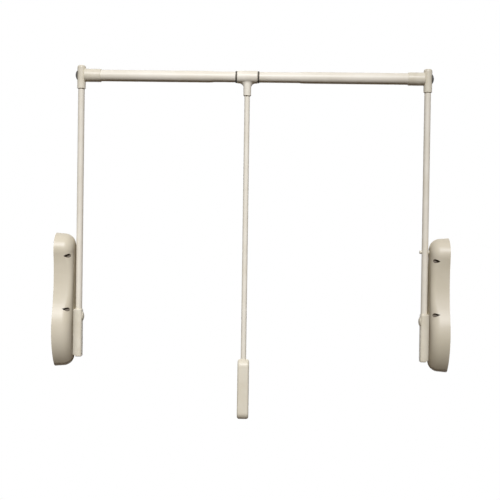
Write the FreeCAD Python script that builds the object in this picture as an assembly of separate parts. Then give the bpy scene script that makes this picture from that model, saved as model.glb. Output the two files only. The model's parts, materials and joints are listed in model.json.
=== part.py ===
import FreeCAD, Part
import math
import os

# Pull down closet rod: two spring-loaded wall housings, two arms, a telescopic
# crossbar and a hanging pull rod, shown with the arms up.
# Millimetres. X runs across the wardrobe from the left wall, -Y is the front, +Z is up.
# The origin lies on the swing axis, in the plane of the left wall.

# Overall places
arm_spacing = 960.0        # between the axes of the two arm tubes
arm_offset = 63.5          # wall to arm axis
arm_reach = 748.0          # swing axis to crossbar axis
swing_deg = 110.0          # travel of the arms, up to lowered
tee_shift = -18.7          # tee from the middle of the span

# Fits
slip_fit = 0.15            # radial, parts that slide on each other
running_fit = 0.08         # radial, a shaft that turns in a bush
seat_fit = 0.05            # radial, parts fixed in each other
running_gap = 0.6          # faces that pass each other
rest_gap = 0.3             # faces that meet at a stop

# Housing cover, a moulded shell with two lobes and a shallow waist between them
cover_depth = 51.5         # wall to inner face
cover_wall = 2.8
cover_round = 29.0         # shoulder between flank and inner face, over the lobes
waist_round = 14.0         # the same shoulder at the middle of the waist
waist_steps = 6            # arcs along which it goes from one to the other and back
cover_draft = 4.0          # flank lean, wall to inner face
top_lobe_r = 46.0
top_lobe_z = 263.5
lower_lobe_half = 64.0     # half depth at the widest place
lower_lobe_z = 42.0
bottom_r = 36.0
bottom_z = -62.0
waist_r = 300.0
rib_count = 2              # stiffening ribs inside, between the wall screws
rib_height = 4.0
rib_thickness = 2.0
rib_reach = 38.0           # wall to the end of a rib

# Wall screws and the tunnels in the cover's shoulder that a driver reaches them through
screw_hole_r = 2.75
access_r = 5.0
access_inset = 7.5         # screw axis in from the outline
tunnel_wall = 1.8          # wall of the tube that guides the driver
upper_screw_z = 246.5
lower_screw_z = 99.0

# Mechanism plates
wall_plate_t = 2.5
plate_edge_gap = 0.4
bearing_plate_t = 3.0
bearing_plate_x = 40.0
bearing_plate_inset = 18.0
bearing_plate_low = -27.0
bearing_plate_high = 266.0
window_r = 10.0            # slot in the bearing plate
window_low = 100.0
window_high = 195.0
pillar_r = 4.5
rear_pillar_y = 30.0
low_pillar_y = -18.0
low_pillar_z = -20.0
spigot_r = 2.5
cover_screw_r = 1.8
cover_screw_head_r = 3.6
cover_screw_length = 18.0
screw_tip_gap = 2.0        # hole beyond the tip of a cover screw
recess_depth = 1.2         # driver recess of a small screw
cover_post_r = 4.4
cover_post_high = 281.5
cover_post_low = -39.0

# Axle and bushes
axle_r = 7.0
axle_flat = 11.0           # across the two flats that drive the pinion
axle_square = 10.0         # drive end in the arm block
axle_collar_r = 11.0
axle_collar_t = 2.5
axle_drive_length = 15.0
axle_clearance = 1.2       # radial, hole in the cover
bush_wall = 2.6
bush_flange = 3.0
bush_length = 8.5
bush_lip = 1.5
boss_wall = 4.0

# Pinion, rack and crosshead
gear_module = 2.0
pinion_teeth = 16
pressure_deg = 20.0
gear_backlash = 0.3
rack_addendum = 1.6
rack_dedendum = 2.4
pinion_width = 16.0
pinion_x = 15.0
rack_width = 14.0
rack_back = 5.5            # behind the tooth roots
rack_teeth_below = 6
rack_teeth_above = 1
guide_thickness = 7.0
guide_length = 34.0
guide_edge = 2.0
crosshead_t = 10.0
crosshead_low = 24.0
crosshead_width = 24.0
crosshead_front = 31.0

# Spring, its guide bolt and seat
drive_x = 24.0             # middle plane of rack, spring and damper
spring_r = 10.5            # wire centre
wire_r = 2.2
spring_turns = 14
guide_r = 6.0
guide_head_r = 9.0
guide_head_t = 7.0
seat_z = 212.0
seat_t = 14.0
seat_half = 24.0

# Damper
damper_y = -15.0
damper_r = 7.0
damper_wall = 1.6
damper_length = 102.0
damper_cap = 6.0
damper_rod_r = 2.5
damper_rod_top = 148.0
piston_t = 8.0

# Rubber stop sleeves on two of the pillars
stop_r = 7.7
stop_y = -26.0

# Arm block and its screws
block_reach = 10.4         # arm axis to the inner face
block_half = 13.0          # half depth
block_corner = 5.0         # round at the inner corners
block_flare_r = 18.0       # hollow flare of the flanks towards the cover
block_flare_deg = 60.0
block_low = -34.5
block_high = 98.0
block_edge = 3.0
block_heel = 7.5           # bevel at the foot, on the side towards the cover
socket_floor = 42.0
clamp_z = 77.5
clamp_head_r = 12.2
clamp_head_t = 4.6
clamp_shank_r = 3.0
axle_screw_r = 2.5
axle_screw_head_r = 4.6
axle_screw_length = 15.0
axle_screw_sink = 1.2      # head below the inner face of the block

# Arm tube and the peg on the right-hand one
arm_r = 9.0
arm_wall = 1.5
peg_z = 270.0
peg_head_r = 4.8
peg_head_t = 6.0
peg_shank_r = 2.4
peg_pad_t = 2.4

# Corner casting and bolt
boss_r = 11.8
boss_up = 27.8
boss_down = 36.5
boss_crown = 6.0
collar_r = 18.2
collar_start = 9.0         # from the arm axis
collar_reach = 55.0
collar_edge = 1.6
socket_stop = 18.0         # bar end, from the arm axis
arm_stop = 12.0            # arm end, below the bar axis
bolt_seat = 10.4           # arm axis to the flat under the bolt head
bolt_head_r = 13.0
bolt_head_t = 6.2
bolt_r = 4.0
bolt_recess = 2.5
bolt_reach = 42.0          # arm axis to the tip of the bolt
plug_length = 30.0

# Crossbar
sleeve_r = 16.0
sleeve_wall = 1.15
bare_length = 240.0        # of the centre tube, between the tips of the sleeves
bare_shift = 7.0           # middle of the bare part from the middle of the span
neck_length = 12.0
neck_wall = 0.45
centre_wall = 1.2
centre_insert = 180.0      # length of the centre tube inside each sleeve

# Tee, rings, pull rod and grip
tee_r = 17.5
tee_length = 56.5
tee_edge = 1.5
stem_r = 10.7
stem_drop = 52.3
stem_socket = 34.0
stem_flare = 12.0
ring_r = 16.4
ring_t = 4.6
rod_r = 7.5
rod_wall = 1.5
grip_top = -35.5
grip_bottom = -202.0
grip_width = 31.8
grip_depth = 38.0
grip_edge = 6.0
grip_socket = 40.0
rod_screw_r = 1.7
rod_screw_head_r = 3.2
rod_screw_head_t = 1.8

# Worked out from the values above
V = FreeCAD.Vector
width = arm_spacing + 2 * arm_offset
bar_z = arm_reach
pitch_r = gear_module * pinion_teeth / 2
rack_travel = pitch_r * math.radians(swing_deg)
rack_root_y = pitch_r + rack_dedendum
rack_back_y = rack_root_y + rack_back
crosshead_top = crosshead_low + crosshead_t
stop_low_z = crosshead_low - rest_gap - stop_r
stop_high_z = crosshead_top + rack_travel + rest_gap + stop_r
bush_r = axle_r + running_fit + bush_wall
spring_y = pitch_r - rack_addendum - guide_r - running_gap
block_x0 = cover_depth + running_gap
block_x1 = arm_offset + block_reach
centre_r = sleeve_r - sleeve_wall - slip_fit
sleeve_tip_x = (width - bare_length) / 2
tee_x = width / 2 + tee_shift
bearing_plate_x1 = bearing_plate_x + bearing_plate_t
axle_collar_x = bearing_plate_x1 + bush_lip + rest_gap


def rod_x(r, x0, x1, y=0.0, z=0.0):
    return Part.makeCylinder(r, x1 - x0, V(x0, y, z), V(1, 0, 0))


def rod_y(r, y0, y1, x, z):
    return Part.makeCylinder(r, y1 - y0, V(x, y0, z), V(0, 1, 0))


def rod_z(r, z0, z1, x, y=0.0):
    return Part.makeCylinder(r, z1 - z0, V(x, y, z0), V(0, 0, 1))


def block(x0, x1, y0, y1, z0, z1):
    return Part.makeBox(x1 - x0, y1 - y0, z1 - z0, V(x0, y0, z0))


def revolved(points, base, axis):
    outline = Part.makePolygon(points + points[:1])
    return Part.Face(outline).revolve(base, axis, 360)


def prism_x(edges, x0, x1):
    face = Part.Face(Part.Wire(Part.__sortEdges__(edges)))
    face.translate(V(x0, 0, 0))
    return face.extrude(V(x1 - x0, 0, 0))


def edges_where(shape, test):
    return [e for e in shape.Edges if test(e.BoundBox)]


def unit(a, b):
    return (b - a).normalize()


# Cover outline

def lobe_circles():
    # Centres and radii of the four circles that make one side of the outline.
    top = V(0, 0, top_lobe_z)
    low = V(0, 0, bottom_z + bottom_r)
    rise = lower_lobe_z - low.z
    flank_r = (lower_lobe_half ** 2 + rise ** 2 - bottom_r ** 2) / (2 * (lower_lobe_half - bottom_r))
    flank = V(0, flank_r - lower_lobe_half, lower_lobe_z)
    # The waist circle touches the top lobe and the flank from outside.
    reach_top = waist_r + top_lobe_r
    reach_flank = waist_r + flank_r
    span = (flank - top).Length
    along = (reach_top ** 2 - reach_flank ** 2 + span ** 2) / (2 * span)
    across = math.sqrt(reach_top ** 2 - along ** 2)
    u = unit(top, flank)
    waist = top + u * along + V(0, u.z, -u.y) * across
    return top, waist, flank, flank_r, low


def arc_mid(centre, r, a, b):
    return centre + (unit(centre, a) + unit(centre, b)).normalize() * r


def arc_points(centre, r, a, b, count):
    # Evenly spaced points on an arc of the YZ plane.
    start = math.atan2(a.z - centre.z, a.y - centre.y)
    turn = math.atan2(b.z - centre.z, b.y - centre.y) - start
    angles = [start + turn * k / count for k in range(count + 1)]
    return [centre + V(0, math.cos(angle), math.sin(angle)) * r for angle in angles]


def cover_outline(inset, x=0.0):
    # The cover's outline in the YZ plane, drawn in by an even amount.
    top, waist, flank, flank_r, low = lobe_circles()
    a = top + unit(top, waist) * (top_lobe_r - inset)
    b = flank + unit(flank, waist) * (flank_r - inset)
    c = flank + unit(flank, low) * (flank_r - inset)
    points = arc_points(waist, waist_r + inset, a, b, 2 * waist_steps)
    bc = arc_mid(flank, flank_r - inset, b, c)
    crown = top + V(0, 0, top_lobe_r - inset)
    foot = V(0, 0, bottom_z + inset)

    def flip(p):
        return V(p.x, -p.y, p.z)

    front = [points[2 * k:2 * k + 3] for k in range(waist_steps)] + [(b, bc, c)]
    back = [[flip(p) for p in reversed(arc)] for arc in reversed(front)]
    arcs = front + [(c, foot, flip(c))] + back + [(flip(a), crown, a)]
    wire = Part.Wire([Part.Arc(*arc).toShape() for arc in arcs])
    wire.translate(V(x, 0, 0))
    return wire


def waist_ends():
    # Heights at which the waist runs into the top lobe and into the flank.
    top, waist, flank, flank_r, low = lobe_circles()
    return top.z + unit(top, waist).z * top_lobe_r, flank.z + unit(flank, waist).z * flank_r


def half_depth(z):
    # Half depth of the outline at a height.
    top, waist, flank, flank_r, low = lobe_circles()
    upper, lower = waist_ends()
    if z > upper:
        return math.sqrt(top_lobe_r ** 2 - (z - top.z) ** 2)
    if z > lower:
        return -waist.y - math.sqrt(waist_r ** 2 - (z - waist.z) ** 2)
    return math.sqrt(flank_r ** 2 - (z - flank.z) ** 2) - flank.y


def shoulder_at(z):
    # The shoulder's radius at a height: full over the lobes, least at the middle of the waist.
    upper, lower = waist_ends()
    share = min(abs(2 * z - upper - lower) / (upper - lower), 1.0)
    return waist_round + (cover_round - waist_round) * share ** 2


def rounded_shell(inset):
    # A drafted body whose shoulder round tightens along the waist.
    depth = cover_depth - inset
    far = inset + cover_draft * depth / cover_depth
    body = Part.makeLoft([cover_outline(inset), cover_outline(far, depth)], True, True)
    radii = []
    for number, edge in enumerate(body.Edges, 1):
        if edge.BoundBox.XMin > depth - 0.01:
            ends = (edge.valueAt(edge.FirstParameter), edge.valueAt(edge.LastParameter))
            radii.append((number, *[shoulder_at(end.z) - inset for end in ends]))
    sheet = FreeCAD.newDocument()
    base = sheet.addObject("Part::Feature", "base")
    base.Shape = body
    rounded = sheet.addObject("Part::Fillet", "rounded")
    rounded.Base = base
    rounded.Edges = radii
    sheet.recompute()
    shape = rounded.Shape.copy()
    FreeCAD.closeDocument(sheet.Name)
    return shape


def wall_screws():
    # Places of the four wall screws, as (y, z).
    places = []
    for z in (lower_screw_z, upper_screw_z):
        y = half_depth(z) - access_inset
        places += [(-y, z), (y, z)]
    return places


def cover_posts():
    return [(0.0, cover_post_low), (0.0, cover_post_high)]


def cover_ribs(hollow):
    # Low ribs that follow the inside of both flanks.
    core = rounded_shell(cover_wall + rib_height)
    step = (upper_screw_z - lower_screw_z) / (rib_count + 1)
    ribs = []
    for k in range(rib_count):
        z = lower_screw_z + (k + 1) * step
        slab = block(wall_plate_t, rib_reach, -lower_lobe_half, lower_lobe_half,
                     z - rib_thickness / 2, z + rib_thickness / 2)
        ribs.append(slab.common(hollow).cut(core))
    return ribs


# Housing pieces, drawn for the left wall

def cover():
    outer = rounded_shell(0.0)
    hollow = rounded_shell(cover_wall)
    shell = outer.cut(hollow)
    posts = [rod_x(cover_post_r, wall_plate_t, cover_depth, y, z) for y, z in cover_posts()]
    tunnel_x = wall_plate_t + rest_gap
    posts += [rod_x(access_r + tunnel_wall, tunnel_x, cover_depth, y, z) for y, z in wall_screws()]
    shell = shell.fuse([post.common(outer) for post in posts] + cover_ribs(hollow))
    cuts = [rod_x(axle_r + axle_clearance, bearing_plate_x, cover_depth)]
    for y, z in wall_screws():
        cuts.append(rod_x(access_r, wall_plate_t, cover_depth, y, z))
    for y, z in cover_posts():
        cuts.append(rod_x(cover_screw_r + seat_fit, 0, cover_screw_length + screw_tip_gap, y, z))
    return shell.cut(cuts).removeSplitter()


def pillar_places():
    return [(stop_y, stop_low_z), (stop_y, stop_high_z), (rear_pillar_y, stop_high_z),
            (low_pillar_y, low_pillar_z), (0.0, bearing_plate_high - 2 * pillar_r)]


def wall_plate():
    face = Part.Face(cover_outline(cover_wall + plate_edge_gap))
    plate = face.extrude(V(wall_plate_t, 0, 0))
    plate = plate.fuse(rod_x(bush_r + boss_wall, 0, wall_plate_t + bush_length))
    cuts = [rod_x(bush_r + seat_fit, wall_plate_t, wall_plate_t + bush_length + 1)]
    for y, z in wall_screws():
        cuts.append(rod_x(screw_hole_r, -1, wall_plate_t + 1, y, z))
    for y, z in pillar_places():
        cuts.append(rod_x(spigot_r + seat_fit, -1, wall_plate_t + 1, y, z))
    for y, z in cover_posts():
        cuts.append(screw_x(cover_screw_r, cover_screw_head_r, 2 * wall_plate_t, seat_fit, y, z))
    return plate.cut(cuts).removeSplitter()


def bearing_plate():
    face = Part.Face(cover_outline(bearing_plate_inset, bearing_plate_x))
    plate = face.extrude(V(bearing_plate_t, 0, 0))
    window = block(bearing_plate_x - 1, bearing_plate_x1 + 1, -width, width,
                   bearing_plate_low, bearing_plate_high)
    plate = plate.common(window)
    cuts = [rod_x(bush_r + seat_fit, bearing_plate_x - 1, bearing_plate_x1 + 1)]
    for y, z in pillar_places():
        cuts.append(rod_x(spigot_r + seat_fit, bearing_plate_x - 1, bearing_plate_x1 + 1, y, z))
    cuts.append(slot_x(window_r, window_low, window_high, bearing_plate_x - 1, bearing_plate_x1 + 1))
    return plate.cut(cuts)


def slot_x(r, z0, z1, x0, x1):
    # A round-ended slot along Z.
    ends = [rod_x(r, x0, x1, 0, z0 + r), rod_x(r, x0, x1, 0, z1 - r)]
    return block(x0, x1, -r, r, z0 + r, z1 - r).fuse(ends).removeSplitter()


def pillars():
    group = []
    for y, z in pillar_places():
        post = rod_x(pillar_r, wall_plate_t, bearing_plate_x, y, z)
        group.append(post.fuse(rod_x(spigot_r, 0, bearing_plate_x1, y, z)).removeSplitter())
    return Part.makeCompound(group)


def screw_x(shank_r, head_r, length, grow=0.0, y=0.0, z=0.0):
    # A countersunk screw along X with its head flush at x = 0.
    r, big = shank_r + grow, head_r + grow
    taper = big - r
    points = [V(0, 0, 0), V(0, big, 0), V(taper, r, 0), V(length, r, 0), V(length, 0, 0)]
    screw = revolved(points, V(0, 0, 0), V(1, 0, 0))
    screw.translate(V(0, y, z))
    return screw


def cross_recess(x, depth, span, y=0.0, z=0.0):
    # A cross-shaped driver recess that opens at x towards -X or +X.
    x0, x1 = min(x, x + depth), max(x, x + depth)
    t = span / 5
    bar = block(x0, x1, y - t, y + t, z - span, z + span)
    return bar.fuse(block(x0, x1, y - span, y + span, z - t, z + t)).removeSplitter()


def cover_screws():
    group = []
    for y, z in cover_posts():
        screw = screw_x(cover_screw_r, cover_screw_head_r, cover_screw_length, 0.0, y, z)
        group.append(screw.cut(cross_recess(0.0, recess_depth, cover_screw_head_r / 2, y, z)))
    return Part.makeCompound(group)


def bushes():
    bore = rod_x(axle_r + running_fit, 0, cover_depth)
    rear = rod_x(bush_r, wall_plate_t, wall_plate_t + bush_length)
    front = rod_x(bush_r, bearing_plate_x - bush_lip, bearing_plate_x1 + bush_lip)
    flange = rod_x(bush_r + bush_flange, bearing_plate_x - bush_lip, bearing_plate_x)
    return Part.makeCompound([rear.cut(bore), front.fuse(flange).removeSplitter().cut(bore)])


def spring_path():
    # One smooth helix from the crosshead up to the seat.
    rise = seat_z - crosshead_top - 2 * wire_r
    path = Part.makeLongHelix(rise / spring_turns, rise, spring_r, 0, False)
    path.translate(V(drive_x, spring_y, crosshead_top + wire_r))
    return path


def spring():
    path = spring_path()
    start = path.Edges[0].Vertexes[0].Point
    tangent = path.Edges[0].tangentAt(path.Edges[0].FirstParameter)
    circle = Part.Wire(Part.makeCircle(wire_r, start, tangent))
    return path.makePipeShell([circle], True, True)


def spring_guide():
    bolt = rod_z(guide_r, crosshead_low, seat_z + seat_t, drive_x, spring_y)
    corners = [V(drive_x + guide_head_r * math.cos(k * math.pi / 3),
                 spring_y + guide_head_r * math.sin(k * math.pi / 3), seat_z + seat_t)
               for k in range(7)]
    head = Part.Face(Part.makePolygon(corners)).extrude(V(0, 0, guide_head_t))
    return bolt.fuse(head).removeSplitter()


def spring_seat():
    seat = block(wall_plate_t, bearing_plate_x, -seat_half, seat_half, seat_z, seat_z + seat_t)
    corners = edges_where(seat, lambda b: b.ZLength < 0.01 and b.YLength < 0.01)
    seat = seat.makeFillet(seat_t / 3, corners)
    return seat.cut(rod_z(guide_r + seat_fit, seat_z - 1, seat_z + seat_t + 1, drive_x, spring_y))


def damper_body():
    low = seat_z - damper_length
    bore = damper_r - damper_wall
    body = rod_z(damper_r, low, seat_z, drive_x, damper_y)
    body = body.cut(rod_z(bore, low + damper_cap, seat_z - damper_cap, drive_x, damper_y))
    return body.cut(rod_z(damper_rod_r + slip_fit, low - 1, low + damper_cap + 1, drive_x, damper_y))


def damper_rod():
    rod = rod_z(damper_rod_r, crosshead_low, damper_rod_top, drive_x, damper_y)
    piston_r = damper_r - damper_wall - slip_fit
    piston = rod_z(piston_r, damper_rod_top - piston_t, damper_rod_top, drive_x, damper_y)
    return rod.fuse(piston).removeSplitter()


def stop_sleeves():
    x0, x1 = drive_x - crosshead_width / 2, drive_x + crosshead_width / 2
    group = []
    for z in (stop_low_z, stop_high_z):
        ring = rod_x(stop_r, x0, x1, stop_y, z)
        group.append(ring.cut(rod_x(pillar_r + seat_fit, x0 - 1, x1 + 1, stop_y, z)))
    return Part.makeCompound(group)


def rack_guide():
    y0 = rack_back_y + slip_fit
    guide = block(wall_plate_t, drive_x + crosshead_width / 2, y0, y0 + guide_thickness,
                  -guide_length / 2, guide_length / 2)
    back = edges_where(guide, lambda b: b.XLength > 1 and b.YMin > y0 + 1)
    return guide.makeFillet(guide_edge, back)


# Pieces that swing or slide

def involute_angle(r, base_r):
    if r <= base_r:
        return 0.0
    roll = math.sqrt((r / base_r) ** 2 - 1)
    return roll - math.atan(roll)


def pinion():
    # Involute teeth, with a gap facing the rack.
    base_r = pitch_r * math.cos(math.radians(pressure_deg))
    tip_r = pitch_r + gear_module
    root_r = pitch_r - 1.25 * gear_module
    half = math.pi / (2 * pinion_teeth) - gear_backlash / (4 * pitch_r)
    half += involute_angle(pitch_r, base_r)

    def on_tooth(r, side, middle):
        angle = middle + side * (half - involute_angle(r, base_r))
        return V(0, r * math.cos(angle), r * math.sin(angle))

    steps = [base_r + (tip_r - base_r) * k / 5 for k in range(6)]
    edges = []
    for k in range(pinion_teeth):
        middle = (k + 0.5) * 2 * math.pi / pinion_teeth
        after = middle + 2 * math.pi / pinion_teeth
        for side in (-1, 1):
            flank = Part.BSplineCurve()
            flank.interpolate([on_tooth(r, side, middle) for r in steps])
            edges.append(flank.toShape())
            edges.append(Part.makeLine(on_tooth(root_r, side, middle), on_tooth(base_r, side, middle)))
        crest = V(0, tip_r * math.cos(middle), tip_r * math.sin(middle))
        edges.append(Part.Arc(on_tooth(tip_r, -1, middle), crest, on_tooth(tip_r, 1, middle)).toShape())
        low = (middle + after) / 2
        valley = V(0, root_r * math.cos(low), root_r * math.sin(low))
        edges.append(Part.Arc(on_tooth(root_r, 1, middle), valley, on_tooth(root_r, -1, after)).toShape())
    gear = prism_x(edges, pinion_x, pinion_x + pinion_width)
    return gear.cut(flatted_x(axle_r + seat_fit, axle_flat + 2 * seat_fit, pinion_x - 1,
                              pinion_x + pinion_width + 1))


def flatted_x(r, flat, x0, x1):
    # A round bar along X with two flats.
    return rod_x(r, x0, x1).common(block(x0, x1, -2 * r, 2 * r, -flat / 2, flat / 2))


def rack():
    pitch = math.pi * gear_module
    lean = math.tan(math.radians(pressure_deg))
    half = pitch / 4 - gear_backlash / 4
    tip = half - rack_addendum * lean
    root = half + rack_dedendum * lean
    z0 = -(rack_teeth_below + 0.5) * pitch
    z1 = crosshead_low + crosshead_t / 2
    points = [V(0, rack_back_y, z1), V(0, rack_back_y, z0), V(0, rack_root_y, z0)]
    for k in range(-rack_teeth_below, rack_teeth_above + 1):
        z = k * pitch
        for side, y in ((-root, rack_root_y), (-tip, pitch_r - rack_addendum),
                        (tip, pitch_r - rack_addendum), (root, rack_root_y)):
            points.append(V(0, y, z + side))
    points.append(V(0, rack_root_y, z1))
    outline = Part.makePolygon(points + points[:1])
    bar = prism_x(outline.Edges, drive_x - rack_width / 2, drive_x + rack_width / 2)
    head = block(drive_x - crosshead_width / 2, drive_x + crosshead_width / 2,
                 -crosshead_front, rack_back_y, crosshead_low, crosshead_top)
    upright = edges_where(head, lambda b: b.ZLength > 1)
    head = head.makeFillet(crosshead_t / 2.5, upright)
    piece = bar.fuse(head).removeSplitter()
    holes = [rod_z(guide_r + slip_fit, crosshead_low - 1, crosshead_top + 1, drive_x, spring_y),
             rod_z(damper_rod_r + seat_fit, crosshead_low - 1, crosshead_top + 1, drive_x, damper_y)]
    return piece.cut(holes)


def axle():
    flats = (pinion_x, pinion_x + pinion_width)
    drive = block_x0 + axle_drive_length
    shaft = rod_x(axle_r, wall_plate_t + rest_gap, block_x0)
    shaft = shaft.cut(rod_x(2 * axle_r, *flats).cut(flatted_x(axle_r, axle_flat, *flats)))
    half = axle_square / 2
    square = block(block_x0 - running_gap, drive, -half, half, -half, half)
    collar = rod_x(axle_collar_r, axle_collar_x, axle_collar_x + axle_collar_t)
    shaft = shaft.fuse([square, collar]).removeSplitter()
    return shaft.cut(rod_x(axle_screw_r + seat_fit, drive - axle_screw_length, drive + 1))


def block_plan():
    # Flat in front, rounded at the inner corners, with hollow flares towards the cover.
    sweep = math.radians(block_flare_deg)
    flare_x = block_x0 + block_flare_r * math.sin(sweep)
    hub = V(flare_x, -block_half - block_flare_r, block_low)

    def on_flare(angle):
        return hub + V(-math.sin(angle), math.cos(angle), 0) * block_flare_r

    def flip(p):
        return V(p.x, -p.y, p.z)

    heel, mid, toe = on_flare(sweep), on_flare(sweep / 2), on_flare(0)
    pivot = V(block_x1 - block_corner, block_corner - block_half, block_low)
    turn = pivot - V(0, block_corner, 0)
    bend = pivot + V(1, -1, 0).normalize() * block_corner
    face = pivot + V(block_corner, 0, 0)
    edges = [Part.makeLine(flip(heel), heel), Part.makeLine(face, flip(face))]
    for side in (lambda p: p, flip):
        edges.append(Part.Arc(side(heel), side(mid), side(toe)).toShape())
        edges.append(Part.makeLine(side(toe), side(turn)))
        edges.append(Part.Arc(side(turn), side(bend), side(face)).toShape())
    return Part.Wire(Part.__sortEdges__(edges))


def arm_block():
    body = Part.Face(block_plan()).extrude(V(0, 0, block_high - block_low))
    rims = edges_where(body, lambda b: b.ZLength < 0.01 and b.XMax > block_x0 + 1)
    body = body.makeFillet(block_edge, rims)
    half = axle_square / 2 + seat_fit
    screw = screw_x(axle_screw_r, axle_screw_head_r, axle_screw_length, seat_fit)
    mouth = rod_x(axle_screw_head_r + seat_fit, block_x1 - axle_screw_sink, block_x1 + 1)
    cuts = [rod_z(arm_r + seat_fit, socket_floor, block_high + 1, arm_offset),
            block(block_x0 - 1, block_x0 + axle_drive_length + seat_fit, -half, half, -half, half),
            rod_x(clamp_shank_r + seat_fit, arm_offset, block_x1 + 1, 0, clamp_z),
            facing_x(screw, block_x1 - axle_screw_sink), mouth, heel_wedge()]
    return body.cut(cuts)


def heel_wedge():
    y = block_half + block_flare_r
    corner = [V(block_x0, -y, block_low), V(block_x0 + block_heel, -y, block_low),
              V(block_x0, -y, block_low + block_heel), V(block_x0, -y, block_low)]
    return Part.Face(Part.makePolygon(corner)).extrude(V(0, 2 * y, 0))


def facing_x(shape, x):
    # Turns a piece drawn from x = 0 towards +X round, so that it starts at x and runs towards -X.
    turned = shape.copy()
    turned.rotate(V(0, 0, 0), V(0, 0, 1), 180)
    turned.translate(V(x, 0, 0))
    return turned


def axle_screw():
    screw = screw_x(axle_screw_r, axle_screw_head_r, axle_screw_length)
    screw = screw.cut(cross_recess(0.0, recess_depth, axle_screw_head_r / 2))
    return facing_x(screw, block_x1 - axle_screw_sink)


def domed_head(r, t):
    # A low domed head on the plane x = 0, towards +X, with a small rim.
    rim = t / 4
    rise = t - rim
    ball = (r ** 2 + rise ** 2) / (2 * rise)
    disc = rod_x(r, 0, t)
    return disc.common(Part.makeSphere(ball, V(t - ball, 0, 0)))


def clamp_screw():
    head = domed_head(clamp_head_r, clamp_head_t)
    head.translate(V(block_x1, 0, clamp_z))
    shank = rod_x(clamp_shank_r, arm_offset + clamp_shank_r, block_x1, 0, clamp_z)
    return head.fuse(shank).removeSplitter()


def arm_tube(with_peg):
    z0, z1 = socket_floor + seat_fit, bar_z - arm_stop - seat_fit
    tube = rod_z(arm_r, z0, z1, arm_offset).cut(rod_z(arm_r - arm_wall, z0 - 1, z1 + 1, arm_offset))
    cuts = [rod_x(clamp_shank_r + seat_fit, arm_offset, block_x1, 0, clamp_z)]
    if with_peg:
        cuts.append(rod_x(peg_shank_r + seat_fit, cover_depth, block_x1, 0, peg_z))
    return tube.cut(cuts)


def peg():
    # A buffer peg through the arm tube: a pad next to the cover, a round head on the inner side.
    pad_x = cover_depth + running_gap
    head_x = arm_offset + arm_r
    pad = rod_x(peg_head_r, pad_x, pad_x + peg_pad_t, 0, peg_z)
    head = rod_x(peg_head_r, head_x, head_x + peg_head_t, 0, peg_z)
    crest = edges_where(head, lambda b: b.XMin > head_x + peg_head_t - 0.01)
    head = head.makeFillet(peg_head_t / 4, crest)
    shank = rod_x(peg_shank_r, pad_x, head_x + 1, 0, peg_z)
    return shank.fuse([pad, head]).removeSplitter()


def corner():
    boss = rod_z(boss_r, bar_z - boss_down, bar_z + boss_up, arm_offset)
    boss = boss.makeFillet(boss_crown, edges_where(boss, lambda b: b.ZMin > bar_z + boss_up - 0.01))
    collar = rod_x(collar_r, arm_offset + collar_start, arm_offset + collar_reach, 0, bar_z)
    collar = collar.makeFillet(collar_edge, edges_where(collar, lambda b: b.XLength < 0.01))
    casting = boss.fuse(collar).removeSplitter()
    seat_x = arm_offset - bolt_seat
    cuts = [rod_x(bolt_head_r + running_gap, seat_x - boss_r, seat_x, 0, bar_z),
            rod_z(arm_r + seat_fit, bar_z - boss_down - 1, bar_z - arm_stop, arm_offset),
            rod_x(sleeve_r + seat_fit, arm_offset + socket_stop, arm_offset + collar_reach + 1, 0, bar_z),
            rod_x(bolt_r + seat_fit, seat_x - 1, arm_offset + socket_stop + 1, 0, bar_z)]
    return casting.cut(cuts)


def corner_bolt():
    seat = arm_offset - bolt_seat
    tip = arm_offset + bolt_reach
    head = facing_x(domed_head(bolt_head_r, bolt_head_t), seat)
    head.translate(V(0, 0, bar_z))
    bolt = head.fuse(rod_x(bolt_r, seat, tip, 0, bar_z)).removeSplitter()
    return bolt.cut(cross_recess(seat - bolt_head_t, bolt_recess, bolt_r, 0, bar_z))


def bar_plug():
    x0 = arm_offset + socket_stop
    r = sleeve_r - sleeve_wall - seat_fit
    plug = rod_x(r, x0, x0 + plug_length, 0, bar_z)
    return plug.cut(rod_x(bolt_r + seat_fit, x0 - 1, x0 + plug_length + 1, 0, bar_z))


def bar_sleeve(right):
    # The tube's tip is necked down towards the centre tube.
    x0 = arm_offset + socket_stop
    x1 = sleeve_tip_x - bare_shift if right else sleeve_tip_x + bare_shift
    bore = sleeve_r - sleeve_wall
    points = [V(x0, bore, 0), V(x0, sleeve_r, 0), V(x1 - neck_length, sleeve_r, 0),
              V(x1, bore + neck_wall, 0), V(x1, bore, 0)]
    tube = revolved(points, V(0, 0, 0), V(1, 0, 0))
    tube.translate(V(0, 0, bar_z))
    return tube


# Crossbar middle and pull rod

def centre_tube():
    x0 = sleeve_tip_x - centre_insert
    x1 = width - x0
    tube = rod_x(centre_r, x0, x1, 0, bar_z)
    return tube.cut(rod_x(centre_r - centre_wall, x0 - 1, x1 + 1, 0, bar_z))


def tee_rings():
    group = []
    for side in (-1, 1):
        near = tee_x + side * (tee_length / 2 + rest_gap)
        x0, x1 = sorted((near, near + side * ring_t))
        ring = rod_x(ring_r, x0, x1, 0, bar_z)
        group.append(ring.cut(rod_x(centre_r + seat_fit, x0 - 1, x1 + 1, 0, bar_z)))
    return Part.makeCompound(group)


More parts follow.
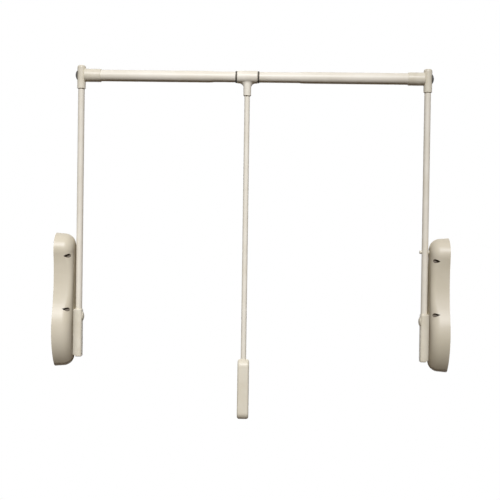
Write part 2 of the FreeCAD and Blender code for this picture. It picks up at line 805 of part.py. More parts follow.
def tee():
    half = tee_length / 2
    low = bar_z - stem_drop
    body = rod_x(tee_r, tee_x - half, tee_x + half, 0, bar_z)
    body = body.makeFillet(tee_edge, edges_where(body, lambda b: b.XLength < 0.01))
    stem = rod_z(stem_r, low, bar_z, tee_x)
    piece = body.fuse(stem).removeSplitter()
    neck = edges_where(piece, lambda b: b.ZMax < bar_z and b.ZMin > low + 1
                       and abs(b.XLength - 2 * stem_r) < 0.1)
    piece = piece.makeFillet(stem_flare, neck)
    lip = edges_where(piece, lambda b: b.ZMax < low + 0.01)
    piece = piece.makeFillet(tee_edge, lip)
    cuts = [rod_x(centre_r + slip_fit, tee_x - half - 1, tee_x + half + 1, 0, bar_z),
            rod_z(rod_r + seat_fit, low - 1, low + stem_socket, tee_x),
            rod_y(rod_screw_r + seat_fit, 0, 2 * stem_r, tee_x, low + stem_socket / 2)]
    return piece.cut(cuts)


def pull_rod():
    z0 = grip_top - grip_socket + seat_fit
    z1 = bar_z - stem_drop + stem_socket - seat_fit
    rod = rod_z(rod_r, z0, z1, tee_x)
    rod = rod.cut(rod_z(rod_r - rod_wall, z0 - 1, z1 + 1, tee_x))
    return rod.cut([rod_y(rod_screw_r + seat_fit, 0, 2 * rod_r, tee_x, z) for z in rod_screw_heights()])


def rod_screw_heights():
    return [bar_z - stem_drop + stem_socket / 2, grip_top - grip_socket / 2 - grip_depth / 8]


def grip():
    r = grip_depth / 2
    x0, x1 = tee_x - grip_width / 2, tee_x + grip_width / 2
    high, low = grip_top - r, grip_bottom + r
    edges = [Part.makeLine(V(0, -r, low), V(0, -r, high)),
             Part.Arc(V(0, -r, high), V(0, 0, grip_top), V(0, r, high)).toShape(),
             Part.makeLine(V(0, r, high), V(0, r, low)),
             Part.Arc(V(0, r, low), V(0, 0, grip_bottom), V(0, -r, low)).toShape()]
    body = prism_x(edges, x0, x1)
    body = body.makeFillet(grip_edge, edges_where(body, lambda b: b.XLength < 0.01))
    upper, lower = rod_screw_heights()
    cuts = [rod_z(rod_r + seat_fit, grip_top - grip_socket, grip_top + 1, tee_x),
            rod_y(rod_screw_r + seat_fit, 0, r + 1, tee_x, lower)]
    return body.cut(cuts)


def rod_screws():
    # One screw at the back of the tee's stem, one at the back of the grip.
    group = []
    for z, seat in zip(rod_screw_heights(), (stem_r, grip_depth / 2)):
        shank = rod_y(rod_screw_r, rod_r - 2 * rod_wall, seat + rod_screw_head_t / 2, tee_x, z)
        head = rod_y(rod_screw_head_r, seat, seat + rod_screw_head_t, tee_x, z)
        group.append(shank.fuse(head).removeSplitter())
    return Part.makeCompound(group)


def side_parts(right):
    # One wall's set of pieces, drawn at the left wall.
    parts = {
        "wall_plate": wall_plate(),
        "bearing_plate": bearing_plate(),
        "plate_pillars": pillars(),
        "housing_cover": cover(),
        "cover_screws": cover_screws(),
        "axle_bushes": bushes(),
        "lift_spring": spring(),
        "spring_guide": spring_guide(),
        "spring_seat": spring_seat(),
        "damper_body": damper_body(),
        "damper_rod": damper_rod(),
        "stop_sleeves": stop_sleeves(),
        "rack_guide": rack_guide(),
        "rack": rack(),
        "pinion": pinion(),
        "axle": axle(),
        "axle_screw": axle_screw(),
        "arm_block": arm_block(),
        "clamp_screw": clamp_screw(),
        "arm_tube": arm_tube(right),
        "corner": corner(),
        "corner_bolt": corner_bolt(),
        "bar_plug": bar_plug(),
        "bar_sleeve": bar_sleeve(right),
    }
    if right:
        parts["arm_peg"] = peg()
    return parts


def mirrored(shape):
    return shape.mirror(V(width / 2, 0, 0), V(1, 0, 0))


def spring_gap():
    # Least gap between one turn of the wire and the next, measured on points.
    points = [p for e in spring_path().Edges for p in e.discretize(40 * spring_turns)]
    per_turn = len(points) // spring_turns
    least = min(points[i].distanceToPoint(points[j])
                for i in range(0, len(points) - per_turn, 7)
                for j in range(i + per_turn // 2, min(i + 2 * per_turn, len(points))))
    return least - 2 * wire_r


def main():
    os.makedirs("parts", exist_ok=True)
    parts = {"left_" + name: shape for name, shape in side_parts(False).items()}
    parts.update({"right_" + name: mirrored(shape) for name, shape in side_parts(True).items()})
    parts.update({"centre_tube": centre_tube(), "tee_rings": tee_rings(), "tee": tee(),
                  "pull_rod": pull_rod(), "grip": grip(), "rod_screws": rod_screws()})
    for name, shape in parts.items():
        solids = shape.Solids
        sound = shape.isValid() and all(s.Volume > 0 for s in solids)
        print(f"{name}: {len(solids)} solid(s), {shape.Volume / 1000:.2f} cm3, valid {sound}")
        shape.exportStep(f"parts/{name}.step")
    print(f"least gap between spring turns {spring_gap():.2f} mm")


main()
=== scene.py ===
import bpy
import json
import math
from mathutils import Matrix, Vector


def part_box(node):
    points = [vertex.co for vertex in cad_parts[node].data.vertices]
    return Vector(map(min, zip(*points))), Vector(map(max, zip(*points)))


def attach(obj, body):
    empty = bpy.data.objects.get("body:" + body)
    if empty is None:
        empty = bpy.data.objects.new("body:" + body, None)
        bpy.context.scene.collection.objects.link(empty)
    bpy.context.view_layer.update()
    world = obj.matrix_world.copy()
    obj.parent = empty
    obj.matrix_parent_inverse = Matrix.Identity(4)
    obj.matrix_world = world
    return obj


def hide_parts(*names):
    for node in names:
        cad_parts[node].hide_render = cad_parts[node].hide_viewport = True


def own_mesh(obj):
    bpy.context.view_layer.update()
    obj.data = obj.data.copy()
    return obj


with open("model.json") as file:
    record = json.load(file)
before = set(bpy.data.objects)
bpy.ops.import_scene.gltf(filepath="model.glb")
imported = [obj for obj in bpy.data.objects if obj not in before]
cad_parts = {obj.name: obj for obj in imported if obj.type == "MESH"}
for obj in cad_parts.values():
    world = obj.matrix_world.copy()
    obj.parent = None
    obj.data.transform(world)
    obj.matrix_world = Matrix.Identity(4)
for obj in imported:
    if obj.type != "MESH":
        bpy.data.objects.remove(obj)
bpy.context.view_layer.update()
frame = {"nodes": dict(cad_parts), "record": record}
nodes = frame["nodes"]
print("frame loaded,", len(nodes), "CAD nodes")


def linear(code, alpha=1.0):
    # sRGB hex to the linear colour the shaders work in
    parts = [int(code[i:i + 2], 16) / 255 for i in (1, 3, 5)]
    return [c / 12.92 if c <= 0.04045 else ((c + 0.055) / 1.055) ** 2.4 for c in parts] + [alpha]


def put(tree, kind, inputs=None, **settings):
    # one node: plain settings by name, inputs as values or as sockets to link
    node = tree.nodes.new(kind)
    for name, value in settings.items():
        setattr(node, name, value)
    for name, value in (inputs or {}).items():
        socket = node.inputs[name]
        sources = value if isinstance(value, list) else [value]
        if isinstance(sources[0], bpy.types.NodeSocket):
            for source in sources:
                tree.links.new(source, socket)
        else:
            socket.default_value = value
    return node


def perMetre(mm):
    # texture scale that repeats once every so many millimetres
    return 1000.0 / mm


def newMaterial(name):
    material = bpy.data.materials.new(name)
    material.use_nodes = True
    tree = material.node_tree
    tree.nodes.clear()
    return material, tree


# Skin of every coated or moulded piece: how far the pattern runs between its ends, and the peel in metres
satinSkin = {"toneEnds": (0.35, 0.65), "driftEnds": (0.3, 0.7), "roughSwing": 0.03, "peelDepth": 0.0002,
             "sideEnds": (0.5, 0.95)}


def satinFinish(name, look):
    # base colour that drifts a little, fine specks, and a soft orange-peel skin
    material, tree = newMaterial(name)
    coords = put(tree, "ShaderNodeTexCoord").outputs
    place = coords["Object"]
    drift = put(tree, "ShaderNodeTexNoise",
                {"Vector": place, "Scale": perMetre(look["driftMm"]), "Detail": 3.0})
    speck = put(tree, "ShaderNodeTexVoronoi", {"Vector": place, "Scale": perMetre(look["speckMm"])})
    tint = put(tree, "ShaderNodeValToRGB", {"Fac": drift.outputs["Fac"]})
    for stop, tone, end in zip(tint.color_ramp.elements, ("deep", "light"), satinSkin["toneEnds"]):
        stop.position = end
        stop.color = linear(look[tone])
    flake = put(tree, "ShaderNodeMix",
                {"Factor": look["speckShare"], "A": tint.outputs["Color"], "B": speck.outputs["Color"]},
                data_type="RGBA", blend_type="SOFT_LIGHT")
    low, high = satinSkin["driftEnds"]
    swing = satinSkin["roughSwing"]
    rough = put(tree, "ShaderNodeMapRange",
                {"Value": drift.outputs["Fac"], "From Min": low, "From Max": high,
                 "To Min": look["rough"] - swing, "To Max": look["rough"] + swing})
    peel = put(tree, "ShaderNodeTexNoise",
               {"Vector": place, "Scale": perMetre(look["peelMm"]), "Detail": 2.0})
    skin = put(tree, "ShaderNodeBump", {"Height": peel.outputs["Fac"], "Strength": look["peel"],
                                        "Distance": satinSkin["peelDepth"]})
    # faces that look sideways may keep the dull skin of an eroded mould
    facing = put(tree, "ShaderNodeSeparateXYZ", {0: coords["Normal"]})
    sideways = put(tree, "ShaderNodeMath", {0: facing.outputs["X"]}, operation="ABSOLUTE")
    low, high = satinSkin["sideEnds"]
    dull = put(tree, "ShaderNodeMapRange", {"Value": sideways.outputs[0], "From Min": low, "From Max": high,
                                            "To Max": look["sideRough"]})
    rougher = put(tree, "ShaderNodeMath", {0: rough.outputs["Result"], 1: dull.outputs["Result"]},
                  operation="MAXIMUM")
    shader = put(tree, "ShaderNodeBsdfPrincipled",
                 {"Base Color": flake.outputs[2], "Roughness": rougher.outputs[0],
                  "Normal": skin.outputs["Normal"], "Metallic": 0.0, "IOR": look["ior"],
                  "Specular IOR Level": look["gloss"]})
    put(tree, "ShaderNodeOutputMaterial", {"Surface": shader.outputs["BSDF"]})
    return material


def paintTunnelShade(material, look):
    # painted shade: the four tunnels over the wall screws get a dark colour that stands in for the shade
    # inside them
    tree = material.node_tree
    shader = next(node for node in tree.nodes if node.type == "BSDF_PRINCIPLED")
    painted = shader.inputs["Base Color"].links[0].from_socket
    place = put(tree, "ShaderNodeTexCoord").outputs["Object"]
    folded = put(tree, "ShaderNodeVectorMath", {0: place}, operation="ABSOLUTE")
    spot = put(tree, "ShaderNodeVectorMath", {0: folded.outputs[0], 1: (0, 1, 1)}, operation="MULTIPLY")
    near = [put(tree, "ShaderNodeVectorMath", {0: spot.outputs[0], 1: axis}, operation="DISTANCE")
            for axis in look["axes"]]
    nearest = put(tree, "ShaderNodeMath", {0: near[0].outputs["Value"], 1: near[1].outputs["Value"]},
                  operation="MINIMUM")
    tunnelShade = put(tree, "ShaderNodeMapRange",
               {"Value": nearest.outputs[0], "From Min": look["radius"],
                "From Max": look["radius"] + look["edge"], "To Min": 1.0, "To Max": 0.0})
    mixed = put(tree, "ShaderNodeMix",
                {"Factor": tunnelShade.outputs["Result"], "A": painted, "B": linear(look["colour"])},
                data_type="RGBA")
    tree.links.new(mixed.outputs[2], shader.inputs["Base Color"])


# Skin of every bare metal piece, with the grain's depth in metres
steelSkin = {"toneEnds": (0.3, 0.7), "roughSwing": 0.08, "grainDepth": 0.0001}


def machinedSteel(name, look):
    # fine drawn lines along one axis break up the reflection
    material, tree = newMaterial(name)
    place = put(tree, "ShaderNodeTexCoord").outputs["Object"]
    stretch = put(tree, "ShaderNodeMapping", {"Vector": place, "Scale": look["stretch"]})
    grain = put(tree, "ShaderNodeTexNoise", {"Vector": stretch.outputs["Vector"],
                                             "Scale": perMetre(look["grainMm"]), "Detail": 4.0})
    cloud = put(tree, "ShaderNodeTexNoise",
                {"Vector": place, "Scale": perMetre(look["cloudMm"]), "Detail": 2.0})
    tint = put(tree, "ShaderNodeValToRGB", {"Fac": cloud.outputs["Fac"]})
    for stop, tone, end in zip(tint.color_ramp.elements, ("deep", "light"), steelSkin["toneEnds"]):
        stop.position = end
        stop.color = linear(look[tone])
    swing = steelSkin["roughSwing"]
    rough = put(tree, "ShaderNodeMapRange", {"Value": grain.outputs["Fac"], "To Min": look["rough"] - swing,
                                             "To Max": look["rough"] + swing})
    skin = put(tree, "ShaderNodeBump", {"Height": grain.outputs["Fac"], "Strength": look["grain"],
                                        "Distance": steelSkin["grainDepth"]})
    shader = put(tree, "ShaderNodeBsdfPrincipled",
                 {"Base Color": tint.outputs["Color"], "Roughness": rough.outputs["Result"],
                  "Normal": skin.outputs["Normal"], "Metallic": 1.0})
    put(tree, "ShaderNodeOutputMaterial", {"Surface": shader.outputs["BSDF"]})
    return material


# Powder-coated steel tube: an even pearl beige with a soft sheen and a faint orange peel
champagnePaint = satinFinish("powderCoatedSteelSatin", {
    "light": "#E6E0D1", "deep": "#DFD8C7", "driftMm": 60.0, "speckMm": 0.8, "speckShare": 0.05,
    "rough": 0.40, "peelMm": 1.6, "peel": 0.12, "ior": 1.5, "gloss": 0.24, "sideRough": 0.0})
# Powder-coated zinc castings: a shade deeper than the tubes, with a livelier skin from the die
champagneCasting = satinFinish("powderCoatedZincCasting", {
    "light": "#DCD5C2", "deep": "#D4CCB7", "driftMm": 25.0, "speckMm": 0.9, "speckShare": 0.06,
    "rough": 0.30, "peelMm": 1.2, "peel": 0.16, "ior": 1.5, "gloss": 0.40, "sideRough": 0.0})
# Painted ABS: moulded, a touch greyer and smoother than the coated steel
champagneAbs = satinFinish("paintedAbsMoulded", {
    "light": "#D2C9B4", "deep": "#CBC2AB", "driftMm": 90.0, "speckMm": 0.8, "speckShare": 0.04,
    "rough": 0.40, "peelMm": 2.5, "peel": 0.08, "ior": 1.5, "gloss": 0.32, "sideRough": 1.0})
# Painted ABS of the grip, the screw caps and the peg: a copy of the cover paint with a brighter sheen, whose
# lighter colour is painted light that makes up for the light these pieces lack
champagneAbsLitCopy = satinFinish("paintedAbsLitCopy", {
    "light": "#DED7C4", "deep": "#D7CFBA", "driftMm": 40.0, "speckMm": 0.8, "speckShare": 0.05,
    "rough": 0.46, "peelMm": 1.4, "peel": 0.12, "ior": 1.5, "gloss": 0.38, "sideRough": 0.0})
# Both sides have their screw pairs at the same heights, so the left ones place all the tunnels
screwPairs = [mount for mount in frame["record"]["mounts"]
              if mount["name"].startswith("left_") and "count" in mount["dims"]]
# painted shade inside the screw tunnels of the covers
paintTunnelShade(champagneAbs, {
    "axes": [(0.0, pair["dims"]["spacing_x_mm"] / 2000, pair["pos_m"][2]) for pair in screwPairs],
    "radius": 0.00505, "edge": 0.0002, "colour": "#655B4C"})
# Bronze-brown enamel on the bolt heads: nearly black, smooth, with one clear highlight
bronzeEnamel = satinFinish("bronzeEnamelSteel", {
    "light": "#332C27", "deep": "#27211D", "driftMm": 8.0, "speckMm": 0.6, "speckShare": 0.06,
    "rough": 0.24, "peelMm": 1.8, "peel": 0.06, "ior": 1.5, "gloss": 0.35, "sideRough": 0.0})
# Black enamel on the damper: near black, even gloss
blackEnamel = satinFinish("blackEnamelSteel", {
    "light": "#1D1D1E", "deep": "#141415", "driftMm": 20.0, "speckMm": 0.6, "speckShare": 0.05,
    "rough": 0.35, "peelMm": 1.5, "peel": 0.1, "ior": 1.5, "gloss": 0.22, "sideRough": 0.0})
# Moulded rubber: dark, dry and slightly dusty
mouldedRubber = satinFinish("rubberMoulded", {
    "light": "#5C564B", "deep": "#4A453C", "driftMm": 6.0, "speckMm": 0.5, "speckShare": 0.12,
    "rough": 0.62, "peelMm": 0.8, "peel": 0.25, "ior": 1.5, "gloss": 0.22, "sideRough": 0.0})
# Moulded nylon: milky off-white with a dull skin
mouldedNylon = satinFinish("nylonMoulded", {
    "light": "#E6E3DA", "deep": "#DCD8CC", "driftMm": 15.0, "speckMm": 0.7, "speckShare": 0.03,
    "rough": 0.48, "peelMm": 1.0, "peel": 0.1, "ior": 1.53, "gloss": 0.3, "sideRough": 0.0})
# Zinc-plated steel: pale grey metal, cloudy, with fine drawn lines
zincSteel = machinedSteel("zincPlatedSteel", {
    "light": "#C6C8CA", "deep": "#A9ACB0", "cloudMm": 9.0, "grainMm": 0.5, "stretch": (0.08, 1.0, 1.0),
    "grain": 0.15, "rough": 0.34})
# Oiled spring steel: dark drawn wire with a wet-looking sheen
springSteel = machinedSteel("springSteelOiled", {
    "light": "#6A6A6E", "deep": "#4C4C50", "cloudMm": 5.0, "grainMm": 0.4, "stretch": (1.0, 1.0, 0.2),
    "grain": 0.1, "rough": 0.28})
# Die-cast alloy: soft grey, grainy as-cast skin
castAlloy = machinedSteel("aluminiumDieCast", {
    "light": "#B9BBBD", "deep": "#A2A4A7", "cloudMm": 6.0, "grainMm": 0.9, "stretch": (1.0, 1.0, 1.0),
    "grain": 0.35, "rough": 0.5})

finishOf = {
    "champagne_paint": champagnePaint, "champagne_plastic": champagneAbs, "bronze_paint": bronzeEnamel,
    "black_paint": blackEnamel, "black_rubber": mouldedRubber, "white_nylon": mouldedNylon,
    "zinc_steel": zincSteel, "spring_steel": springSteel, "cast_alloy": castAlloy,
}
# Nodes whose finish differs from the rest of their slot
# the grip, the screw caps and the peg take the lighter copy, whose colour holds painted light
ownFinish = {"grip": champagneAbsLitCopy, "right_arm_peg": champagneAbsLitCopy}
for side in ("left_", "right_"):
    ownFinish[side + "arm_block"] = champagneCasting
    ownFinish[side + "corner"] = champagneCasting
    ownFinish[side + "clamp_screw"] = champagneAbsLitCopy
for entry in frame["record"]["subparts"]:
    for slot in nodes[entry["node"]].material_slots:
        slot.material = ownFinish.get(entry["node"], finishOf[entry["material_slot"]])
print("finishes assigned")


def newTree(name, sizes):
    # empty geometry tree with one named input for each size
    tree = bpy.data.node_groups.new(name, "GeometryNodeTree")
    tree.interface.new_socket("Geometry", in_out="OUTPUT", socket_type="NodeSocketGeometry")
    kinds = {float: "NodeSocketFloat", tuple: "NodeSocketVector"}
    for size, value in sizes.items():
        tree.interface.new_socket(size, in_out="INPUT", socket_type=kinds[type(value)])
    return tree, put(tree, "NodeGroupInput").outputs


def closeTree(tree, shape, material, crease):
    # edges sharper than the crease angle stay crisp, everything else is shaded round
    solid = put(tree, "GeometryNodeRealizeInstances", {"Geometry": shape})
    angle = put(tree, "GeometryNodeInputMeshEdgeAngle")
    sharp = put(tree, "FunctionNodeCompare", {"A": angle.outputs[0], "B": math.radians(crease)},
                operation="GREATER_THAN")
    crisp = put(tree, "GeometryNodeSetShadeSmooth",
                {"Geometry": solid.outputs[0], "Selection": sharp.outputs[0], "Shade Smooth": False},
                domain="EDGE")
    dressed = put(tree, "GeometryNodeSetMaterial", {"Geometry": crisp.outputs[0], "Material": material})
    put(tree, "NodeGroupOutput", {"Geometry": dressed.outputs[0]})


def growPiece(name, tree, sizes, body, node):
    # the tree runs once on an empty mesh, and what it gives is kept as a plain mesh in the node's place
    piece = bpy.data.objects.new(name, bpy.data.meshes.new(name + "Seed"))
    bpy.context.scene.collection.objects.link(piece)
    grow = piece.modifiers.new("grow", "NODES")
    grow.node_group = tree
    for socket in tree.interface.items_tree:
        if socket.in_out == "INPUT":
            grow[socket.identifier] = sizes[socket.name]
    graph = bpy.context.evaluated_depsgraph_get()
    mesh = bpy.data.meshes.new_from_object(piece.evaluated_get(graph))
    piece.modifiers.remove(grow)
    piece.data = mesh
    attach(piece, body)
    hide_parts(node)
    return piece


def middle(node):
    low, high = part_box(node)
    return (low + high) / 2


# Lift springs: wire wound on a helix, with closed turns at both ends that bear flat on their seats
pointsPerTurn = 40
closedPitch = 2.06  # wire radii from one closed turn to the next, so that they just clear
springLook = {"Coil Radius": 0.0105, "Wire Radius": 0.0022, "Foot": 0.034, "Head": 0.212, "Turns": 14.0,
              "Closed Turns": 1.25, "Axis X": 0.0, "Axis Y": 0.0}


def springTree():
    tree, size = newTree("liftSpringWire", springLook)
    line = put(tree, "GeometryNodeCurvePrimitiveLine", {"Start": (0, 0, 0), "End": (0, 0, 1)})
    path = put(tree, "GeometryNodeResampleCurve",
               {"Curve": line.outputs[0], "Count": int(springLook["Turns"]) * pointsPerTurn})
    along = put(tree, "GeometryNodeSplineParameter").outputs["Factor"]
    share = put(tree, "ShaderNodeMath", {0: size["Closed Turns"], 1: size["Turns"]},
                operation="DIVIDE").outputs[0]
    rest = put(tree, "ShaderNodeMath", {0: 1.0, 1: share}, operation="SUBTRACT").outputs[0]
    pitch = put(tree, "ShaderNodeMath", {0: size["Wire Radius"], 1: closedPitch},
                operation="MULTIPLY").outputs[0]
    closed = put(tree, "ShaderNodeMath", {0: size["Closed Turns"], 1: pitch}, operation="MULTIPLY").outputs[0]
    height = put(tree, "ShaderNodeMath", {0: size["Head"], 1: size["Foot"]}, operation="SUBTRACT").outputs[0]
    spent = put(tree, "ShaderNodeMath", {0: closed, 1: size["Wire Radius"]}, operation="ADD").outputs[0]
    # what both closed ends leave of the height
    liveHeight = put(tree, "ShaderNodeMath", {0: spent, 1: -2.0, 2: height},
                     operation="MULTIPLY_ADD").outputs[0]
    lower = put(tree, "ShaderNodeMapRange", {"Value": along, "From Max": share, "To Max": closed}).outputs[0]
    live = put(tree, "ShaderNodeMapRange", {"Value": along, "From Min": share, "From Max": rest,
                                            "To Max": liveHeight}).outputs[0]
    upper = put(tree, "ShaderNodeMapRange", {"Value": along, "From Min": rest, "To Max": closed}).outputs[0]
    start = put(tree, "ShaderNodeMath", {0: size["Foot"], 1: size["Wire Radius"]}, operation="ADD").outputs[0]
    climb = put(tree, "ShaderNodeMath", {0: start, 1: lower}, operation="ADD").outputs[0]
    climb = put(tree, "ShaderNodeMath", {0: climb, 1: live}, operation="ADD").outputs[0]
    climb = put(tree, "ShaderNodeMath", {0: climb, 1: upper}, operation="ADD").outputs[0]
    turn = put(tree, "ShaderNodeMath", {0: along, 1: size["Turns"]}, operation="MULTIPLY").outputs[0]
    turn = put(tree, "ShaderNodeMath", {0: turn, 1: math.tau}, operation="MULTIPLY").outputs[0]
    across = put(tree, "ShaderNodeMath", {0: turn}, operation="COSINE").outputs[0]
    across = put(tree, "ShaderNodeMath", {0: across, 1: size["Coil Radius"], 2: size["Axis X"]},
                 operation="MULTIPLY_ADD").outputs[0]
    deep = put(tree, "ShaderNodeMath", {0: turn}, operation="SINE").outputs[0]
    deep = put(tree, "ShaderNodeMath", {0: deep, 1: size["Coil Radius"], 2: size["Axis Y"]},
               operation="MULTIPLY_ADD").outputs[0]
    place = put(tree, "ShaderNodeCombineXYZ", {0: across, 1: deep, 2: climb})
    coil = put(tree, "GeometryNodeSetPosition", {"Geometry": path.outputs[0], "Position": place.outputs[0]})
    wire = put(tree, "GeometryNodeCurvePrimitiveCircle", {"Resolution": 12, "Radius": size["Wire Radius"]})
    mesh = put(tree, "GeometryNodeCurveToMesh", {"Curve": coil.outputs[0], "Profile Curve": wire.outputs[0],
                                                 "Fill Caps": True})
    closeTree(tree, mesh.outputs[0], springSteel, crease=50)
    return tree


springGrown = springTree()
for side in ("left", "right"):
    centre = middle(side + "_lift_spring")
    wound = dict(springLook, **{"Axis X": centre.x, "Axis Y": centre.y})
    spring = growPiece(side + "SpringCoil", springGrown, wound, side + "_housing",
                       side + "_lift_spring")
    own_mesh(spring)
print("springs wound")


# Tee rings: moulded rings with rounded lips, one at each end of the tee
ringLook = {"Bore": 0.01475, "Outer Radius": 0.0164, "Width": 0.0046, "Lip": 0.0007, "First": (0.0, 0.0, 0.0),
            "Last": (0.0, 0.0, 0.0)}


def ringTree():
    tree, size = newTree("teeRingPair", ringLook)
    wall = put(tree, "ShaderNodeMath", {0: size["Outer Radius"], 1: size["Bore"]},
               operation="SUBTRACT").outputs[0]
    middleRadius = put(tree, "ShaderNodeMath", {0: wall, 1: 0.5, 2: size["Bore"]},
                       operation="MULTIPLY_ADD").outputs[0]
    section = put(tree, "GeometryNodeCurvePrimitiveQuadrilateral", {"Width": wall, "Height": size["Width"]})
    lips = put(tree, "GeometryNodeFilletCurve",
               {"Curve": section.outputs[0], "Count": 4, "Radius": size["Lip"]}, mode="POLY")
    loop = put(tree, "GeometryNodeCurvePrimitiveCircle", {"Resolution": 72, "Radius": middleRadius})
    ring = put(tree, "GeometryNodeCurveToMesh", {"Curve": loop.outputs[0], "Profile Curve": lips.outputs[0]})
    upright = put(tree, "GeometryNodeTransform",
                  {"Geometry": ring.outputs[0], "Rotation": (0, math.pi / 2, 0)})
    places = put(tree, "GeometryNodeMeshLine", {"Count": 2, "Start Location": size["First"],
                                                "Offset": size["Last"]}, mode="END_POINTS")
    pair = put(tree, "GeometryNodeInstanceOnPoints",
               {"Points": places.outputs[0], "Instance": upright.outputs[0]})
    closeTree(tree, pair.outputs[0], mouldedRubber, crease=50)
    return tree


low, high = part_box("tee_rings")
barZ = (low.z + high.z) / 2
ringPlace = dict(ringLook, First=(low.x + ringLook["Width"] / 2, 0.0, barZ),
                 Last=(high.x - ringLook["Width"] / 2, 0.0, barZ))
growPiece("teeRingsMoulded", ringTree(), ringPlace, "bar_centre", "tee_rings")
print("tee rings moulded")


# Rod screws: two pan heads with a cross recess, at the back of the stem and of the grip
stemBack = 0.0107  # the stem's radius, from the rod's axis to its back
screwLook = {"Head Radius": 0.0032, "Head Height": 0.0018, "Crown": 0.0007, "Slot": 0.0008,
             "Slot Length": 0.0036, "Shank Radius": 0.0018, "Shank Length": 0.0075,
             "Upper": (0.0, 0.0, 0.0), "Lower": (0.0, 0.0, 0.0)}


def screwTree():
    tree, size = newTree("rodScrewPair", screwLook)
    disc = put(tree, "GeometryNodeMeshCylinder",
               {"Vertices": 40, "Side Segments": 2, "Fill Segments": 5,
                "Radius": size["Head Radius"], "Depth": size["Head Height"]})
    position = put(tree, "GeometryNodeInputPosition").outputs[0]
    spot = put(tree, "ShaderNodeSeparateXYZ", {0: position}).outputs
    square = put(tree, "ShaderNodeMath", {0: spot[0], 1: spot[0]}, operation="MULTIPLY").outputs[0]
    square = put(tree, "ShaderNodeMath", {0: spot[1], 1: spot[1], 2: square},
                 operation="MULTIPLY_ADD").outputs[0]
    edge = put(tree, "ShaderNodeMath", {0: size["Head Radius"], 1: 2.0}, operation="POWER").outputs[0]
    fall = put(tree, "ShaderNodeMath", {0: square, 1: edge}, operation="DIVIDE").outputs[0]
    fall = put(tree, "ShaderNodeMath", {0: fall, 1: size["Crown"]}, operation="MULTIPLY").outputs[0]
    fall = put(tree, "ShaderNodeMath", {0: fall, 1: -1.0}, operation="MULTIPLY").outputs[0]
    # the crown falls off only above the disc's middle ring
    top = put(tree, "FunctionNodeCompare", {"A": spot[2], "B": 0.0001}, operation="GREATER_THAN").outputs[0]
    sink = put(tree, "ShaderNodeCombineXYZ", {2: fall}).outputs[0]
    domed = put(tree, "GeometryNodeSetPosition",
                {"Geometry": disc.outputs[0], "Selection": top, "Offset": sink})
    half = put(tree, "ShaderNodeMath", {0: size["Head Height"], 1: 0.5}, operation="MULTIPLY").outputs[0]
    lift = put(tree, "ShaderNodeCombineXYZ", {2: half}).outputs[0]
    bars = []
    for long, wide in (("Slot Length", "Slot"), ("Slot", "Slot Length")):
        bar = put(tree, "ShaderNodeCombineXYZ", {0: size[long], 1: size[wide], 2: size["Head Height"]})
        cube = put(tree, "GeometryNodeMeshCube", {"Size": bar.outputs[0]})
        raised = put(tree, "GeometryNodeTransform", {"Geometry": cube.outputs[0], "Translation": lift})
        bars.append(raised.outputs[0])
    head = put(tree, "GeometryNodeMeshBoolean", {"Mesh 1": domed.outputs[0], "Mesh 2": bars},
               operation="DIFFERENCE")
    seated = put(tree, "GeometryNodeTransform", {"Geometry": head.outputs[0], "Translation": lift})
    pin = put(tree, "GeometryNodeMeshCylinder", {"Vertices": 24, "Radius": size["Shank Radius"],
                                                 "Depth": size["Shank Length"]})
    drop = put(tree, "ShaderNodeMath", {0: size["Shank Length"], 1: -0.5}, operation="MULTIPLY").outputs[0]
    below = put(tree, "ShaderNodeCombineXYZ", {2: drop}).outputs[0]
    shank = put(tree, "GeometryNodeTransform", {"Geometry": pin.outputs[0], "Translation": below})
    screw = put(tree, "GeometryNodeJoinGeometry", {"Geometry": [seated.outputs[0], shank.outputs[0]]})
    places = put(tree, "GeometryNodeMeshLine", {"Count": 2, "Start Location": size["Upper"],
                                                "Offset": size["Lower"]}, mode="END_POINTS")
    pair = put(tree, "GeometryNodeInstanceOnPoints",
               {"Points": places.outputs[0], "Instance": screw.outputs[0], "Rotation": (-math.pi / 2, 0, 0)})
    closeTree(tree, pair.outputs[0], zincSteel, crease=35)
    return tree


low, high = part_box("rod_screws")
reach = screwLook["Head Radius"]
gripBack = high.y - screwLook["Head Height"]
rodX = (low.x + high.x) / 2
screwPlace = dict(screwLook, Upper=(rodX, stemBack, high.z - reach), Lower=(rodX, gripBack, low.z + reach))
growPiece("rodScrewsPan", screwTree(), screwPlace, "pull", "rod_screws")
print("rod screws set")


# Stage: floor well below the hanging grip, white to the eye, dim to the light it gives back
stageLook = {"floorZ": -1.25, "floorHalf": 12.0, "floorColour": "#857050", "paleColour": "#F1EFEB",
             "nearWhite": 0.6, "nearReach": 2.4, "farReach": 3.05, "middleX": 0.54,
             "fill": 0.11, "fillColour": "#E8C792"}


def seenDirectly(tree):
    # 1 for rays from the eye, off a gloss or through glass
    path = put(tree, "ShaderNodeLightPath").outputs
    first = put(tree, "ShaderNodeMath", {0: path["Is Camera Ray"], 1: path["Is Glossy Ray"]},
                operation="MAXIMUM")
    return put(tree, "ShaderNodeMath", {0: first.outputs[0], 1: path["Is Transmission Ray"]},
               operation="MAXIMUM").outputs[0]


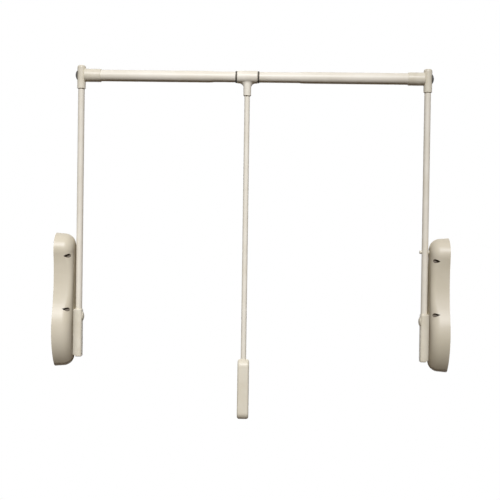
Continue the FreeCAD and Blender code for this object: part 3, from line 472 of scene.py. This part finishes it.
def makeFloor():
    half, z = stageLook["floorHalf"], stageLook["floorZ"]
    mesh = bpy.data.meshes.new("floor")
    corners = [(-half, -half, z), (half, -half, z), (half, half, z), (-half, half, z)]
    mesh.from_pydata(corners, [], [(0, 1, 2, 3)])
    floor = bpy.data.objects.new("floor", mesh)
    bpy.context.scene.collection.objects.link(floor)
    # painted board: pale under the object, so that its shadow shows, and pure white farther out
    material, tree = newMaterial("paintedBoardPale")
    seen = seenDirectly(tree)
    tone = put(tree, "ShaderNodeMix", {"Factor": seen, "A": linear(stageLook["floorColour"]),
                                       "B": linear(stageLook["paleColour"])}, data_type="RGBA")
    dull = put(tree, "ShaderNodeBsdfDiffuse", {"Color": tone.outputs[2]})
    white = put(tree, "ShaderNodeEmission", {"Color": (1, 1, 1, 1), "Strength": 1.0})
    place = put(tree, "ShaderNodeTexCoord").outputs["Object"]
    away = put(tree, "ShaderNodeVectorMath", {0: place, 1: (stageLook["middleX"], 0.0, z)},
               operation="DISTANCE")
    fade = put(tree, "ShaderNodeMapRange",
               {"Value": away.outputs["Value"], "From Min": stageLook["nearReach"],
                "From Max": stageLook["farReach"], "To Min": stageLook["nearWhite"]})
    share = put(tree, "ShaderNodeMath", {0: seen, 1: fade.outputs["Result"]}, operation="MULTIPLY")
    mixed = put(tree, "ShaderNodeMixShader",
                {"Fac": share.outputs[0], 1: dull.outputs[0], 2: white.outputs[0]})
    put(tree, "ShaderNodeOutputMaterial", {"Surface": mixed.outputs[0]})
    mesh.materials.append(material)


def makeWorld():
    world = bpy.data.worlds.new("studio")
    bpy.context.scene.world = world
    world.use_nodes = True
    tree = world.node_tree
    tree.nodes.clear()
    warm = put(tree, "ShaderNodeBackground",
               {"Color": linear(stageLook["fillColour"]), "Strength": stageLook["fill"]})
    white = put(tree, "ShaderNodeBackground", {"Color": (1, 1, 1, 1), "Strength": 1.0})
    mixed = put(tree, "ShaderNodeMixShader",
                {"Fac": seenDirectly(tree), 1: warm.outputs[0], 2: white.outputs[0]})
    put(tree, "ShaderNodeOutputWorld", {"Surface": mixed.outputs[0]})


# Lamps: a far softbox with a grid, high in front and turned a little to the left, and a weaker one behind
lampLook = {
    "keyLamp": {"at": (0.5, -8.0, 6.0), "aim": (0.36, 0.0, 0.25), "watts": 25.9, "size": 1.6, "spread": 25.0,
                "colour": "#F6F8FF", "sheen": True},
    "backLamp": {"at": (0.54, 9.0, 4.5), "aim": (0.54, 0.0, 0.3), "watts": 7.5, "size": 1.6, "spread": 25.0,
                 "colour": "#FFFFFF", "sheen": False},
}


def makeLamp(name, look):
    data = bpy.data.lights.new(name, "AREA")
    data.energy = look["watts"]
    data.color = linear(look["colour"])[:3]
    data.shape = "DISK"
    data.size = look["size"]
    data.spread = math.radians(look["spread"])
    lamp = bpy.data.objects.new(name, data)
    lamp.location = look["at"]
    lamp.visible_glossy = look["sheen"]  # a lamp behind would only put a glare on the edges
    aim = Vector(look["aim"]) - Vector(look["at"])
    lamp.rotation_euler = aim.to_track_quat("-Z", "Y").to_euler()
    bpy.context.scene.collection.objects.link(lamp)


def makeCamera():
    # level view from the front, a little right of the middle and slightly turned, as photographed
    eye = {"at": (0.592677, -2.799124, 0.313738), "yaw": -0.0192454, "pitch": -0.0159723, "roll": 0.0145546,
           "lens": 72.529, "sensor": 36.0}
    data = bpy.data.cameras.new("camera")
    data.lens = eye["lens"]
    data.sensor_width = eye["sensor"]
    camera = bpy.data.objects.new("camera", data)
    turn = (Matrix.Rotation(-eye["yaw"], 4, "Z") @ Matrix.Rotation(math.pi / 2 + eye["pitch"], 4, "X")
            @ Matrix.Rotation(eye["roll"], 4, "Z"))
    camera.matrix_world = Matrix.Translation(eye["at"]) @ turn
    bpy.context.scene.collection.objects.link(camera)
    bpy.context.scene.camera = camera


makeFloor()
makeWorld()
for lampName, look in lampLook.items():
    makeLamp(lampName, look)
makeCamera()
bpy.context.scene.view_settings.view_transform = "Standard"
print("stage set")
